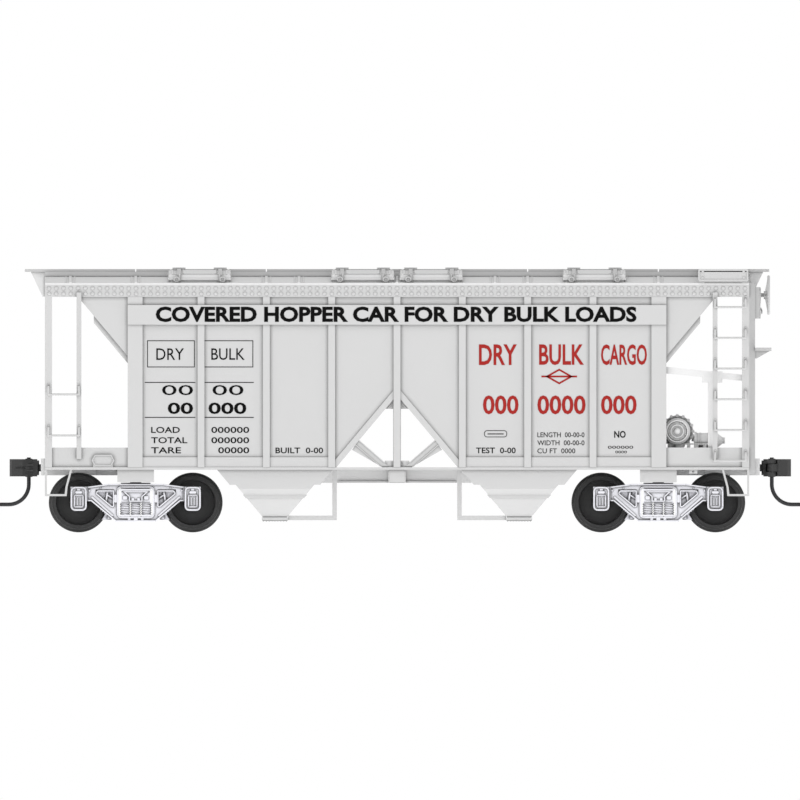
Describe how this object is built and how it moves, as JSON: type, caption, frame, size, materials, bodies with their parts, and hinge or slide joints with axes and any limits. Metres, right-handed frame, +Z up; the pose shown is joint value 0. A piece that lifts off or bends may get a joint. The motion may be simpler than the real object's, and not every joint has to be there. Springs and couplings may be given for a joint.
{
  "type": "model hopper car",
  "caption": "HO scale two-bay covered hopper car: open-end body with roof hatches, swivelling trucks, turning wheelsets, knuckle couplers and brake wheel.",
  "frame": {"origin": "midway between the two trucks on the car's middle line, at the foot of the wheel flanges", "axes": "+Z up, +X towards the end that carries the hand brake, +Y to the car's right side"},
  "size_m": [0.1408, 0.0358, 0.0462],
  "materials": {
    "body_plastic": "moulded styrene, light grey, satin",
    "detail_plastic": "moulded acetal, light grey, satin",
    "truck_plastic": "moulded acetal, pale grey, satin",
    "ballast_steel": "bare sheared sheet steel",
    "screw_steel": "blackened steel screws",
    "coupler_metal": "die-cast zinc, blackened",
    "pin_steel": "blackened steel wire",
    "axle_metal": "turned steel, blackened",
    "wheel_metal": "turned metal wheels, blackened faces"
  },
  "bodies": {
    "car_body": {"left_side": "body_plastic", "right_side": "body_plastic", "side_sills": "body_plastic", "letterboards": "body_plastic", "centre_bay_bracing": "body_plastic", "hopper_a": "body_plastic", "hopper_b": "body_plastic", "outlet_gates": "body_plastic", "outlet_hangers": "body_plastic", "centre_sill": "body_plastic", "body_bolsters": "body_plastic", "end_platform_a": "body_plastic", "end_platform_b": "body_plastic", "corner_posts": "body_plastic", "end_fascias": "body_plastic", "roof": "body_plastic", "roof_hatches": "body_plastic", "hatch_straps": "detail_plastic", "roof_walk": "detail_plastic", "roof_walk_brackets": "detail_plastic", "lateral_walks": "detail_plastic", "side_ladders": "detail_plastic", "grab_posts": "detail_plastic", "stirrup_steps": "detail_plastic", "card_boards": "detail_plastic", "roping_staples": "detail_plastic", "brake_mast": "detail_plastic", "brake_housing": "detail_plastic", "brake_rod": "detail_plastic", "brake_step": "detail_plastic", "air_reservoir": "detail_plastic", "brake_cylinder": "detail_plastic", "control_valve": "detail_plastic", "brake_lever_stand": "detail_plastic", "ballast_weights": "ballast_steel", "truck_screws": "screw_steel", "coupler_screws": "screw_steel", "coupler_boxes": "body_plastic", "coupler_box_lids": "body_plastic"},
    "truck_a": {"truck_a_sideframes": "truck_plastic", "truck_a_bolster": "truck_plastic", "truck_a_brake_beams": "truck_plastic"},
    "truck_b": {"truck_b_sideframes": "truck_plastic", "truck_b_bolster": "truck_plastic", "truck_b_brake_beams": "truck_plastic"},
    "wheelset_1": {"axle_1": "axle_metal", "wheels_1": "wheel_metal"},
    "wheelset_2": {"axle_2": "axle_metal", "wheels_2": "wheel_metal"},
    "wheelset_3": {"axle_3": "axle_metal", "wheels_3": "wheel_metal"},
    "wheelset_4": {"axle_4": "axle_metal", "wheels_4": "wheel_metal"},
    "coupler_a": {"coupler_a": "coupler_metal"},
    "knuckle_a": {"knuckle_a": "coupler_metal", "trip_pin_a": "pin_steel"},
    "coupler_b": {"coupler_b": "coupler_metal"},
    "knuckle_b": {"knuckle_b": "coupler_metal", "trip_pin_b": "pin_steel"},
    "brake_wheel": {"brake_wheel": "detail_plastic"}
  },
  "joints": [
    {"name": "truck_a_swivel", "type": "hinge", "parent": "car_body", "child": "truck_a", "pos_m": [-0.0456, 0, 0.0087], "axis": [0, 0, 1], "range_deg": [-12, 12]},
    {"name": "truck_b_swivel", "type": "hinge", "parent": "car_body", "child": "truck_b", "pos_m": [0.0456, 0, 0.0087], "axis": [0, 0, 1], "range_deg": [-12, 12]},
    {"name": "wheelset_1_spin", "type": "hinge", "parent": "truck_a", "child": "wheelset_1", "pos_m": [-0.05555, 0, 0.00522], "axis": [0, 1, 0], "continuous": true},
    {"name": "wheelset_2_spin", "type": "hinge", "parent": "truck_a", "child": "wheelset_2", "pos_m": [-0.03565, 0, 0.00522], "axis": [0, 1, 0], "continuous": true},
    {"name": "wheelset_3_spin", "type": "hinge", "parent": "truck_b", "child": "wheelset_3", "pos_m": [0.03565, 0, 0.00522], "axis": [0, 1, 0], "continuous": true},
    {"name": "wheelset_4_spin", "type": "hinge", "parent": "truck_b", "child": "wheelset_4", "pos_m": [0.05555, 0, 0.00522], "axis": [0, 1, 0], "continuous": true},
    {"name": "coupler_a_swing", "type": "hinge", "parent": "car_body", "child": "coupler_a", "pos_m": [-0.05585, 0, 0.01127], "axis": [0, 0, 1], "range_deg": [-10, 10], "stiffness_Nm_per_rad": 0.0002},
    {"name": "knuckle_a_open", "type": "hinge", "parent": "coupler_a", "child": "knuckle_a", "pos_m": [-0.06425, 0.00125, 0.01127], "axis": [0, 0, 1], "range_deg": [-35, 0], "stiffness_Nm_per_rad": 0.0001},
    {"name": "coupler_b_swing", "type": "hinge", "parent": "car_body", "child": "coupler_b", "pos_m": [0.057, 0, 0.01127], "axis": [0, 0, 1], "range_deg": [-10, 10], "stiffness_Nm_per_rad": 0.0002},
    {"name": "knuckle_b_open", "type": "hinge", "parent": "coupler_b", "child": "knuckle_b", "pos_m": [0.0654, -0.00125, 0.01127], "axis": [0, 0, 1], "range_deg": [-35, 0], "stiffness_Nm_per_rad": 0.0001},
    {"name": "brake_wheel_turn", "type": "hinge", "parent": "car_body", "child": "brake_wheel", "pos_m": [0.0638, -0.0062, 0.0414], "axis": [1, 0, 0], "continuous": true}
  ]
}
